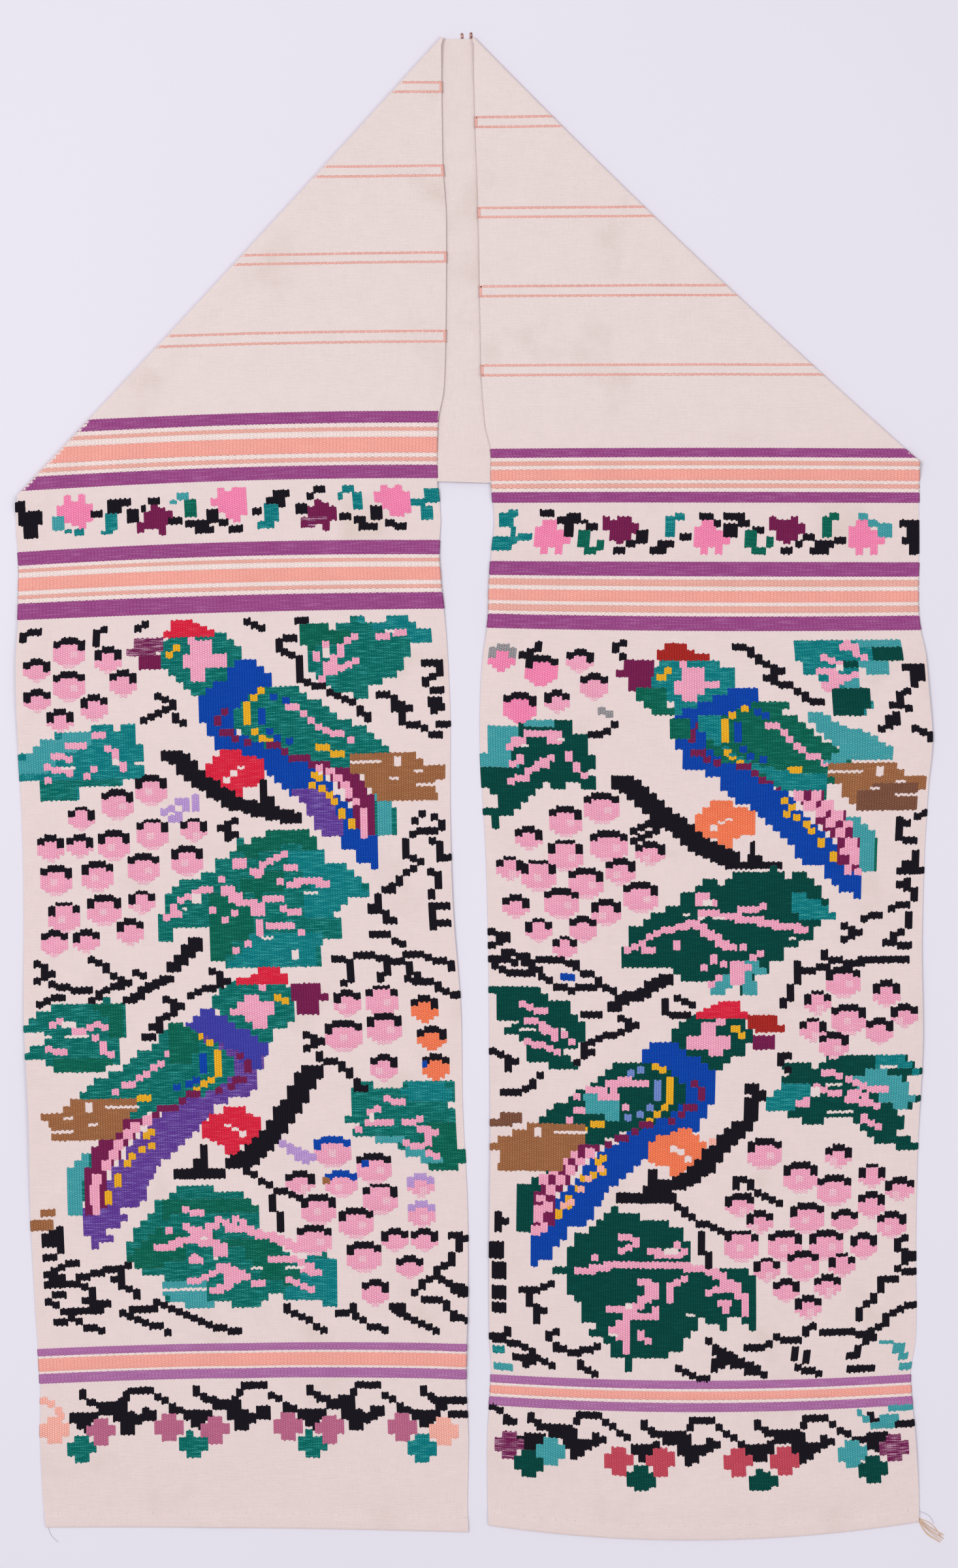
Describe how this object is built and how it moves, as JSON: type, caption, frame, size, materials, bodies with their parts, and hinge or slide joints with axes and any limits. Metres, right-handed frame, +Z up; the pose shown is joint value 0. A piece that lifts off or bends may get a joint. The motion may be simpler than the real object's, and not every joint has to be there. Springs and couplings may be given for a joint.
{
  "type": "folded rushnyk towel",
  "caption": "Long handwoven cotton towel with woven-in coloured bands and motifs, folded into a peak with two parallel hanging ends.",
  "frame": {"origin": "centre of the towel's bounding box, on the surface that it lies on", "axes": "+Z up out of the surface, +Y from the two hems towards the peak of the folds, +X to the right when seen from above"},
  "size_m": [0.9666, 1.5678, 0.0061],
  "materials": {
    "cloth": "matte off-white cotton tabby with coloured weft bands and inlaid yarn motifs",
    "warp_yarn": "matte undyed cotton warp ends"
  },
  "bodies": {
    "root": {"towel": "cloth", "corner_tail": "warp_yarn"}
  },
  "joints": []
}
